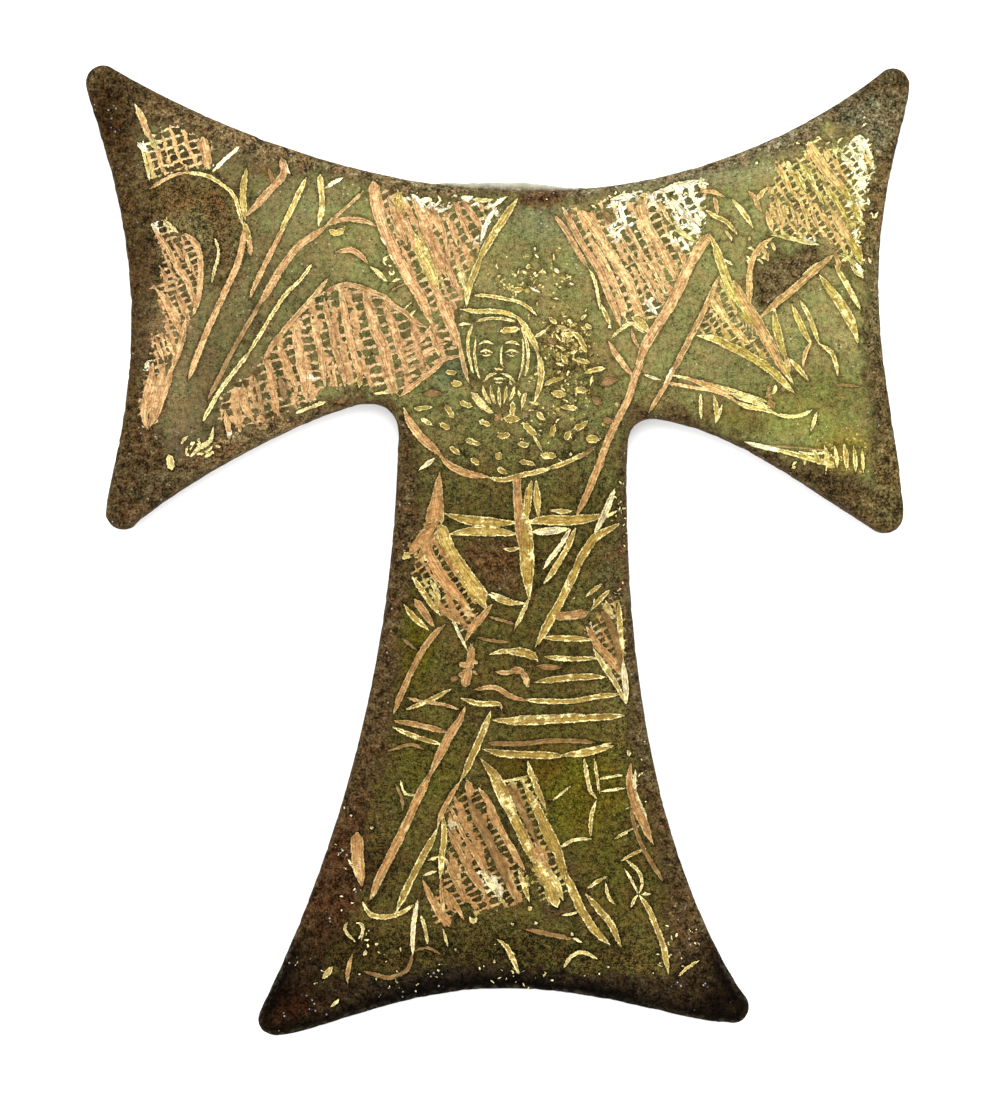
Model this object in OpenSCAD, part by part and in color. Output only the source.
// Flat tau cross pendant, cast in one piece, with a hooded bearded figure, a
// staff, plants and hatching cut into the front. It lies on its back: the front
// faces +Z, the crossbar is towards +Y, and the origin is under the middle of
// its outline.

/* [Plate] */
// Thickness of the casting
plate_t = 1.6; // [1.2:0.1:2.4]
// How far the front edge is rounded over
front_round = 0.35; // [0.2:0.05:0.5]
// How far the back edge is eased
back_round = 0.2; // [0.1:0.05:0.3]

/* [Cuts] */
// Depth of the widest graver cuts
cut_depth = 0.16; // [0.08:0.02:0.3]
// Depth of a graver cut for each millimetre of its width
cut_slope = 0.5; // [0.3:0.05:0.8]

/* [Loop stub] */
// Length of the stub along the top edge
stub_l = 4.5; // [3:0.1:6]
// How far the stub stands out from the top edge
stub_h = 0.3; // [0.1:0.05:0.8]
// Thickness of the stub
stub_t = 0.8; // [0.5:0.05:1.2]

/* [Hidden] */

// Corners, clockwise from the top left tip.
// Columns: x, y of the centre, radius, angle where the outline comes in, angle where it leaves
CORNERS = [
    [-15.80,  18.72, 0.70, 190,   60],  // top left tip
    [ 15.80,  18.62, 0.68, 122,   -8],  // top right tip
    [ 15.52,   1.42, 0.72,   8, -125],  // lower right tip
    [  6.20,   4.30, 1.00,  85,  180],  // right armpit
    [  9.42, -18.28, 0.64,  28, -100],  // right foot tip
    [ -8.92, -18.74, 0.68, -72, -205],  // left foot tip
    [ -5.10,   4.80, 1.10,   0,  100],  // left armpit
    [-15.05,   1.50, 0.66, -55, -190],  // lower left tip
];
// Concave edges, each from the corner of the same row to the next.
// Columns: how far the middle stands in from the chord, how much the bend leans
// to the far end, how pointed the bend is
EDGES = [
    [4.85,  0.15, 0.95],  // top
    [1.11, -0.33, 1.43],  // right end
    [0.50,  0.60, 0.95],  // under the right arm
    [1.66,  0.23, 0.91],  // right of the stem
    [1.62,  0.12, 1.50],  // foot
    [1.35,  0.00, 1.00],  // left of the stem
    [0.54, -0.10, 0.72],  // under the left arm
    [1.39,  0.00, 1.20],  // left end
];
EDGE_STEPS = 14;
CORNER_STEPS = 6;
// The stub sits where the top edge is lowest
STUB_X = 0.22;
STUB_Y = 14.45;

// Graver cuts, as they lie on the front.
// Columns: width where it is widest, then the points it runs through
CUTS = [
    // plants on the left of the crossbar
    [0.28, [-14.43, 17.80], [-14.15, 17.10], [-13.95, 16.50]],
    [0.18, [-13.95, 14.40], [-13.00, 14.95], [-11.75, 15.00], [-10.60, 14.25], [-10.22, 13.20]],
    [0.30, [-11.80, 16.55], [-11.65, 15.90], [-11.55, 15.20]],
    [0.18, [-11.45, 15.05], [-10.90, 15.60], [-10.35, 16.10]],
    [0.30, [-10.03, 15.30], [-10.15, 14.30], [-10.12, 13.45]],
    [0.35, [-8.65, 15.65], [-8.60, 14.95], [-9.20, 14.25], [-9.95, 13.50]],
    [0.28, [-10.20, 13.10], [-10.35, 11.80], [-11.00, 10.00], [-11.95, 7.90], [-12.37, 6.75]],
    [0.28, [-7.62, 14.90], [-8.40, 13.30], [-9.20, 11.60], [-9.92, 10.05]],
    [0.30, [-7.10, 14.95], [-7.05, 13.90], [-7.20, 13.00]],
    [0.16, [-5.35, 14.35], [-6.00, 13.70], [-6.70, 13.15]],
    [0.26, [-6.80, 12.95], [-6.10, 13.20], [-5.40, 13.18], [-4.95, 12.95]],
    [0.35, [-6.95, 12.90], [-8.00, 12.10], [-8.60, 11.30], [-9.60, 9.70], [-10.60, 7.95], [-11.60, 6.00]],
    [0.20, [-7.40, 11.45], [-8.50, 10.15], [-9.50, 8.60], [-10.50, 7.15], [-11.80, 5.10]],
    [0.26, [-6.50, 11.90], [-5.75, 11.93], [-5.10, 11.35], [-4.45, 10.75]],
    [0.28, [-13.80, 13.05], [-13.20, 12.10], [-12.70, 11.10], [-12.15, 9.90]],
    [0.30, [-12.60, 12.70], [-11.95, 12.00], [-11.90, 10.50], [-12.20, 9.30]],
    [0.35, [-13.70, 10.50], [-13.10, 9.60], [-12.70, 8.60]],
    [0.22, [-13.70, 8.60], [-13.50, 8.00], [-13.30, 7.50]],
    [0.34, [-12.46, 9.30], [-12.85, 7.75], [-13.05, 7.10]],
    [0.42, [-13.75, 7.60], [-14.05, 6.00], [-13.95, 4.80]],
    [0.38, [-13.25, 7.40], [-13.60, 6.10], [-13.80, 5.00]],
    [0.35, [-13.15, 3.87], [-13.08, 3.52], [-13.00, 3.17]],
    // hatched mass left of the head
    [0.28, [-6.75, 10.90], [-7.60, 9.85], [-8.60, 8.70], [-9.35, 7.60]],
    [0.27, [-6.90, 10.35], [-6.00, 10.62], [-5.00, 10.30], [-3.70, 9.50], [-2.80, 8.90]],
    [0.38, [-6.35, 10.50], [-6.10, 9.30], [-5.80, 8.00], [-5.55, 6.50]],
    [0.52, [-5.40, 10.40], [-5.00, 9.30], [-4.60, 8.20], [-4.00, 6.20]],
    [0.30, [-6.95, 10.10], [-6.70, 9.00], [-6.50, 8.00], [-6.10, 6.50]],
    [0.35, [-7.50, 9.40], [-7.15, 8.20], [-6.95, 7.00], [-6.90, 6.50]],
    [0.42, [-8.20, 9.00], [-7.95, 8.00], [-7.75, 6.90], [-7.60, 5.90]],
    [0.35, [-8.65, 8.10], [-8.30, 7.10], [-8.05, 6.10]],
    [0.30, [-9.30, 7.60], [-9.00, 6.50], [-8.75, 5.50]],
    [0.40, [-10.20, 6.70], [-10.10, 5.80], [-9.70, 5.10]],
    [0.26, [-10.90, 5.60], [-10.80, 5.10], [-10.75, 4.70]],
    [0.25, [-4.00, 6.10], [-3.10, 6.80], [-2.20, 7.60], [-1.50, 7.75]],
    [0.30, [-4.60, 9.90], [-4.20, 8.90], [-3.90, 7.90], [-3.50, 7.00]],
    [0.30, [-3.50, 9.00], [-3.20, 8.00], [-2.95, 7.30]],
    [0.24, [-2.75, 8.90], [-2.50, 8.20], [-2.30, 7.70]],
    [0.12, [-8.10, 5.55], [-7.50, 5.75], [-6.75, 6.00]],
    // hatching over the head
    [0.42, [-5.00, 14.70], [-4.75, 13.40], [-4.00, 11.70], [-3.30, 10.50], [-2.60, 9.00]],
    [0.22, [-4.35, 14.05], [-4.10, 13.40], [-3.65, 12.20]],
    [0.45, [-3.95, 14.35], [-3.35, 12.50], [-2.75, 11.20], [-2.20, 10.00], [-1.55, 8.20]],
    [0.26, [-3.45, 14.20], [-2.95, 13.20], [-2.50, 12.05]],
    [0.26, [-2.60, 13.70], [-2.10, 12.40], [-1.80, 11.00], [-1.50, 10.30]],
    [0.20, [-1.70, 13.70], [-1.40, 12.90], [-1.10, 12.30]],
    [0.30, [0.80, 14.08], [-0.15, 12.70], [-0.65, 11.80], [-1.10, 10.70], [-1.30, 9.80]],
    // halo and hood
    [0.12, [-1.00, 10.20], [0.00, 10.10], [1.00, 9.85], [1.50, 9.40]],
    [0.19, [-1.45, 9.62], [-0.20, 9.55], [0.90, 9.25], [1.40, 8.40]],
    [0.27, [1.60, 8.05], [1.72, 7.20], [1.62, 6.40], [1.45, 5.90]],
    // folds right of the head
    [0.22, [2.20, 13.42], [2.73, 12.71], [3.36, 11.64], [3.93, 10.49], [4.07, 9.60]],
    [0.27, [2.58, 13.69], [3.31, 12.31], [4.07, 11.11], [4.60, 9.82], [4.91, 8.89]],
    [0.52, [3.36, 13.51], [4.24, 12.22], [5.04, 10.98], [5.44, 10.09], [5.84, 9.33]],
    [0.20, [4.80, 12.62], [5.31, 11.82], [6.00, 10.70], [6.35, 10.00]],
    [0.20, [4.87, 13.91], [5.22, 12.84], [5.80, 11.78], [6.73, 10.13]],
    [0.55, [5.67, 13.87], [6.29, 12.36], [6.82, 11.38], [7.13, 10.76]],
    [0.25, [6.42, 13.96], [6.80, 13.25], [7.00, 12.95]],
    [0.26, [6.90, 14.10], [7.45, 13.40], [8.05, 13.05]],
    [0.24, [6.20, 14.30], [7.09, 14.53], [8.10, 14.80]],
    [0.20, [7.15, 12.10], [7.35, 11.60], [7.45, 11.20]],
    [0.16, [4.50, 8.45], [5.35, 9.05], [6.05, 8.75]],
    // staff, from the peak beside the folds down to the hand
    [0.36, [8.35, 12.55], [7.80, 11.70], [7.20, 10.40], [6.50, 8.90], [5.70, 7.40], [5.00, 5.80],
        [4.50, 4.50], [3.95, 3.20], [3.10, 1.45]],
    [0.32, [8.55, 12.50], [8.85, 11.60], [9.35, 10.40], [10.10, 9.30], [10.90, 8.10], [11.70, 6.80]],
    [0.22, [8.85, 11.00], [8.20, 9.60], [7.50, 8.20], [6.90, 7.00], [6.00, 5.50]],
    [0.30, [7.85, 8.55], [9.00, 8.28], [10.00, 7.75], [10.90, 7.15], [11.75, 6.35]],
    [0.24, [6.95, 6.75], [8.00, 6.58], [9.20, 6.25], [10.60, 5.75], [11.70, 5.35], [12.55, 5.60]],
    [0.20, [8.65, 6.05], [8.72, 5.60], [8.70, 5.10]],
    [0.14, [12.75, 5.62], [12.62, 5.15], [12.50, 4.75]],
    [0.22, [9.85, 4.30], [10.90, 4.10], [12.10, 3.85], [13.20, 3.45]],
    // plants on the right of the crossbar
    [0.24, [11.00, 12.50], [10.25, 11.85], [10.05, 11.00], [10.10, 9.70]],
    [0.22, [13.40, 11.80], [12.60, 11.10], [11.80, 10.40], [10.50, 9.30]],
    [0.36, [12.80, 11.00], [13.40, 10.20], [13.90, 9.40], [14.30, 8.40]],
    [0.22, [13.45, 11.45], [14.00, 10.50], [14.50, 9.60]],
    [0.22, [11.75, 9.80], [12.10, 9.05], [12.50, 8.45]],
    [0.20, [12.05, 9.95], [12.50, 9.15], [12.80, 8.30], [13.35, 7.85], [13.55, 7.05]],
    [0.16, [12.50, 8.35], [12.25, 7.90], [12.18, 7.25]],
    [0.28, [11.05, 9.65], [11.20, 8.80], [11.50, 7.85], [12.40, 6.80]],
    [0.48, [12.40, 16.20], [13.00, 15.30], [13.60, 14.60], [14.05, 14.05]],
    [0.28, [11.15, 15.50], [11.60, 14.50], [11.80, 14.20]],
    [0.18, [12.15, 15.50], [12.60, 14.60], [13.00, 13.80]],
    [0.20, [14.05, 16.30], [14.45, 16.50], [14.95, 15.60]],
    [0.40, [13.30, 13.40], [13.90, 12.60], [14.20, 12.20], [14.50, 11.40]],
    [0.25, [14.20, 13.90], [14.35, 13.40], [14.50, 13.10]],
    [0.35, [11.10, 14.20], [11.30, 13.50], [11.40, 12.90]],
    [0.26, [10.70, 13.60], [10.85, 13.10], [10.95, 12.70]],
    [0.22, [9.35, 14.00], [9.80, 13.45], [10.15, 12.90]],
    [0.18, [8.30, 13.55], [9.05, 13.20], [9.55, 12.60]],
    // shoulders, collar and belt
    [0.24, [-3.75, 5.70], [-3.30, 4.80], [-2.40, 3.90], [-1.80, 3.30], [-0.40, 2.92]],
    [0.16, [-0.30, 2.90], [0.40, 2.82], [1.50, 3.10], [2.60, 3.45], [3.75, 4.00]],
    [0.18, [-3.15, 3.22], [-2.80, 3.45], [-2.50, 3.68]],
    [0.40, [-2.35, 3.15], [-2.45, 2.30], [-2.55, 1.20]],
    [0.24, [-2.10, 1.42], [-1.20, 1.20], [-0.20, 1.10], [0.55, 1.08]],
    [0.26, [-1.95, 0.66], [-1.00, 0.72], [0.45, 0.68]],
    [0.62, [0.90, 2.95], [0.95, 1.50], [1.05, 0.20], [1.15, -1.00], [1.20, -2.00]],
    [0.30, [1.35, 1.12], [2.20, 1.22], [3.00, 1.15], [4.05, 1.35]],
    [0.26, [1.45, 0.75], [2.10, 0.75], [2.75, 0.85]],
    [0.20, [2.85, 0.80], [2.40, 0.10], [1.75, -0.80]],
    [0.20, [3.10, 0.85], [2.60, -0.10], [1.80, -1.35]],
    [0.26, [4.90, 1.10], [3.90, 0.55], [3.30, -0.40], [2.60, -1.80], [1.50, -3.80]],
    [0.12, [4.65, 2.45], [4.40, 1.85], [4.15, 1.10]],
    // sleeve and arm on the left
    [0.42, [-2.10, 0.95], [-2.00, 0.10], [-1.30, -0.95], [-0.55, -2.20]],
    [0.42, [-2.85, 0.70], [-2.70, -0.10], [-2.10, -1.25], [-1.20, -2.30]],
    [0.20, [-3.45, -1.00], [-3.00, -1.60], [-2.30, -2.60]],
    [0.30, [-3.70, -2.15], [-3.20, -2.60], [-2.65, -3.10]],
    [0.26, [-0.20, -2.10], [-0.65, -2.65], [-1.30, -3.50]],
    [0.30, [-1.12, -3.75], [-1.15, -4.50], [-1.30, -5.40]],
    [0.16, [-2.10, -2.95], [-2.65, -3.45], [-3.40, -4.70], [-4.15, -6.50]],
    // robe, from the belt down
    [0.26, [-0.35, -1.95], [0.30, -2.05], [1.00, -2.08]],
    [0.28, [-0.35, -4.10], [0.40, -3.95], [1.10, -4.00], [1.55, -4.25]],
    [0.22, [-0.25, -4.72], [0.60, -4.75], [1.00, -4.90], [1.20, -5.40]],
    [0.22, [-0.90, -5.55], [0.00, -5.55], [0.80, -5.92], [2.40, -6.02], [4.90, -5.72]],
    [0.18, [1.75, -3.50], [2.60, -3.52], [3.75, -3.55]],
    [0.18, [1.85, -4.25], [2.80, -4.30], [3.95, -4.30]],
    [0.24, [1.50, -5.25], [2.80, -5.10], [4.20, -5.05]],
    [0.40, [2.20, -2.60], [2.90, -2.60], [3.65, -2.48]],
    [0.34, [3.55, -3.00], [4.10, -3.80], [4.80, -4.80]],
    [0.34, [4.20, -2.40], [4.65, -3.20], [4.90, -4.50]],
    [0.20, [3.80, -3.90], [4.35, -4.75], [5.10, -6.10]],
    [0.30, [-0.25, -6.75], [1.20, -6.80], [2.60, -6.75], [5.10, -6.60]],
    [0.18, [-3.70, -6.35], [-2.80, -6.02], [-1.90, -5.55]],
    [0.22, [-1.45, -6.05], [-0.80, -6.12], [0.10, -6.15]],
    [0.28, [-1.30, -6.25], [-1.95, -7.35], [-2.80, -9.10], [-3.80, -11.20], [-5.10, -13.90]],
    [0.28, [-0.30, -6.45], [-0.55, -7.10], [-0.95, -7.95], [-1.50, -9.20]],
    [0.20, [-4.20, -6.80], [-3.20, -6.95], [-2.10, -7.25]],
    [0.18, [-4.20, -7.05], [-3.30, -7.40], [-2.40, -7.70]],
    [0.18, [-0.50, -7.70], [0.90, -7.70], [2.10, -7.62], [3.90, -7.65]],
    [0.28, [-0.55, -7.98], [0.40, -8.12], [2.00, -8.18], [3.20, -8.12], [4.60, -7.80]],
    [0.36, [-0.80, -9.40], [-0.25, -10.25], [0.35, -11.50], [1.10, -12.80]],
    [0.32, [-1.25, -9.90], [-0.75, -10.90], [-0.20, -11.95], [0.40, -13.40]],
    [0.40, [-2.00, -11.10], [-1.50, -12.10], [-1.00, -13.00], [-0.45, -13.70]],
    [0.36, [-0.70, -8.30], [0.05, -9.25], [0.75, -10.70], [1.40, -12.00], [2.00, -13.20]],
    [0.26, [0.45, -9.45], [1.00, -10.50], [1.55, -11.60]],
    [0.38, [1.10, -9.30], [1.75, -10.70], [2.45, -12.25], [3.10, -13.80], [4.50, -15.70]],
    [0.26, [-1.55, -9.25], [-1.95, -9.95], [-2.35, -10.80]],
    [0.26, [-2.45, -11.10], [-3.00, -12.20], [-3.50, -13.20], [-4.05, -14.40]],
    [0.24, [-2.20, -10.60], [-2.18, -11.80], [-2.28, -13.20], [-2.10, -14.60]],
    [0.32, [-3.00, -13.10], [-2.65, -13.90], [-2.00, -14.95]],
    [0.28, [3.50, -13.70], [4.10, -14.45], [4.90, -15.80]],
    // tree on the right and the ground
    [0.14, [3.45, -8.35], [3.60, -9.20], [3.92, -9.85], [3.70, -10.60], [3.72, -11.40]],
    [0.12, [3.87, -8.30], [3.95, -9.00], [4.05, -9.60]],
    [0.10, [4.10, -9.08], [4.60, -9.00], [5.05, -8.95]],
    [0.10, [4.12, -9.62], [4.60, -9.55], [5.10, -9.50]],
    [0.36, [5.30, -8.45], [5.30, -9.30], [5.60, -10.30], [6.10, -11.60]],
    [0.16, [5.70, -11.70], [6.10, -12.40], [6.60, -13.25]],
    [0.14, [2.45, -11.90], [3.05, -11.58], [3.75, -11.50]],
    [0.16, [5.15, -12.40], [5.68, -12.85], [5.68, -13.60]],
    [0.26, [5.65, -13.75], [6.15, -14.65], [6.60, -15.70], [6.85, -16.90]],
    [0.20, [-5.35, -14.05], [-5.05, -14.50], [-4.40, -14.60], [-3.40, -14.15]],
    [0.18, [-3.22, -14.00], [-3.38, -14.90], [-3.42, -16.10], [-4.30, -17.02], [-5.35, -16.80]],
    [0.18, [0.00, -15.50], [0.40, -15.90], [0.85, -16.85]],
    [0.16, [1.00, -15.10], [2.00, -15.30], [3.00, -15.52]],
    [0.14, [2.62, -16.68], [2.95, -16.20], [3.50, -16.00], [4.05, -16.25]],
    [0.50, [-5.60, -11.30], [-5.62, -12.20], [-5.42, -13.45]],
];
// Punched marks of the collar and the ground.
// Columns: x, y, radius
PUNCHES = [
    [-2.95, 5.75, 0.20], [-1.95, 5.50, 0.17], [-2.85, 5.15, 0.16], [-2.15, 4.98, 0.17],
    [-0.58, 5.12, 0.16], [-0.95, 4.36, 0.22], [-1.72, 4.00, 0.17], [-0.92, 3.62, 0.15],
    [0.05, 3.76, 0.20], [0.20, 4.62, 0.19], [0.58, 5.42, 0.22], [1.22, 4.82, 0.19],
    [0.98, 4.22, 0.17], [1.68, 5.35, 0.17], [1.20, 3.50, 0.19], [2.00, 3.80, 0.20],
    [2.20, 4.75, 0.18], [2.80, 4.58, 0.16], [2.80, 5.68, 0.19], [3.38, 5.12, 0.18],
    [3.72, 4.42, 0.20], [-4.85, -15.70, 0.15], [-5.25, -16.02, 0.18], [-3.90, -15.92, 0.17],
    [-1.70, -15.88, 0.19], [-0.12, -16.40, 0.20], [0.58, -14.95, 0.17], [1.52, -14.88, 0.16],
    [2.95, -15.32, 0.15], [4.45, -16.60, 0.15],
];

function polar(c, r, a) = [c[0] + r * cos(a), c[1] + r * sin(a)];
// An armpit bends the other way, so it grows where a tip shrinks
function is_armpit(c) = c[4] > c[3];
function corner_r(c, inset) = is_armpit(c) ? c[2] + inset : c[2] - inset;

function corner_points(c, inset) = [
    for (k = [0 : CORNER_STEPS])
        polar(c, corner_r(c, inset), c[3] + (c[4] - c[3]) * k / CORNER_STEPS)
];

// A bend between two corners, pushed in by the bow and leaned by the skew
function edge_points(i, inset) =
    let (
        a = CORNERS[i],
        b = CORNERS[(i + 1) % len(CORNERS)],
        p = polar(a, corner_r(a, inset), a[4]),
        q = polar(b, corner_r(b, inset), b[3]),
        along = q - p,
        inward = [along[1], -along[0]] / norm(along),
        row = EDGES[i]
    )
    [
        for (k = [1 : EDGE_STEPS - 1])
            let (t = k / EDGE_STEPS, bend = pow(4 * t * (1 - t), row[2]) * (1 + row[1] * (2 * t - 1)))
                p + along * t + inward * row[0] * bend
    ];

function outline(inset = 0) = [
    for (i = [0 : len(CORNERS) - 1])
        each concat(corner_points(CORNERS[i], inset), edge_points(i, inset))
];

// Steps of the edge from back to front: height, inset
function edge_levels() = concat(
    [for (a = [0, 45, 90]) [back_round * (1 - cos(a)), back_round * (1 - sin(a))]],
    [for (a = [0, 30, 60, 90]) [plate_t - front_round * (1 - sin(a)), front_round * (1 - cos(a))]]
);

// The casting without its cuts: rings of the outline, stacked and closed flat
module plate_body() {
    levels = edge_levels();
    n = len(outline());
    m = len(levels);
    points = [for (level = levels) for (p = outline(level[1])) [p[0], p[1], level[0]]];
    sides = [
        for (k = [0 : m - 2])
            for (i = [0 : n - 1])
                let (j = (i + 1) % n)
                    each [[k * n + i, (k + 1) * n + j, (k + 1) * n + i], [k * n + i, k * n + j, (k + 1) * n + j]]
    ];
    back = [[for (i = [n - 1 : -1 : 0]) i]];
    front = [[for (i = [0 : n - 1]) (m - 1) * n + i]];
    polyhedron(points, concat(sides, back, front));
}

// What the saw left of the hanging loop
module loop_stub() {
    low = STUB_Y - 0.6;
    top = STUB_Y + stub_h;
    translate([STUB_X, 0, (plate_t - stub_t) / 2])
        linear_extrude(stub_t)
            polygon([
                [-stub_l / 2 - 0.25, low], [-stub_l / 2 - 0.25, STUB_Y + 0.05],
                [-stub_l / 2 + 0.25, top + 0.08], [-0.8, top], [stub_l / 2 - 0.5, top - 0.02],
                [stub_l / 2, STUB_Y], [stub_l / 2, low],
            ]);
}

function unit(v) = v / norm(v);
// Direction of a line of points at point i
function heading(p, i) = unit(p[min(i + 1, len(p) - 1)] - p[max(i - 1, 0)]);
// Across the line, to its left
function across(p, i) = [-heading(p, i)[1], heading(p, i)[0]];

// A graver cut: pointed at both ends, a V across, with its keel under the line
module graver_cut(width, p) {
    n = len(p);
    depth = min(cut_depth, width * cut_slope);
    clear = 0.06;
    half = width / 2 * (depth + clear) / depth;
    top = plate_t + clear;
    inner = [for (i = [1 : n - 2]) i];
    points = concat(
        [[p[0][0], p[0][1], top]],
        [
            for (i = inner)
                let (s = across(p, i) * half, c = p[i])
                    each [[c[0] + s[0], c[1] + s[1], top], [c[0] - s[0], c[1] - s[1], top],
                        [c[0], c[1], plate_t - depth]]
        ],
        [[p[n - 1][0], p[n - 1][1], top]]
    );
    m = n - 2;
    last = 3 * m + 1;
    faces = concat(
        [[0, 1, 2], [0, 3, 1], [0, 2, 3]],
        [
            for (k = [0 : m - 2])
                let (a = 3 * k + 1, b = a + 3)
                    each [[a, b + 1, a + 1], [a, b, b + 1], [a, b + 2, b], [a, a + 2, b + 2],
                        [a + 1, b + 2, a + 2], [a + 1, b + 1, b + 2]]
        ],
        [[last, last - 2, last - 3], [last, last - 3, last - 1], [last, last - 1, last - 2]]
    );
    polyhedron(points, faces);
}

module cuts() {
    for (row = CUTS)
        graver_cut(row[0], [for (i = [1 : len(row) - 1]) row[i]]);
    for (row = PUNCHES)
        translate([row[0], row[1], plate_t - 0.09])
            cylinder(h = 0.2, r1 = row[2] * 0.5, r2 = row[2] * 1.6, $fn = 12);
}

module tau_plate() {
    color("olivedrab")
        difference() {
            union() {
                plate_body();
                loop_stub();
            }
            cuts();
        }
}

tau_plate();
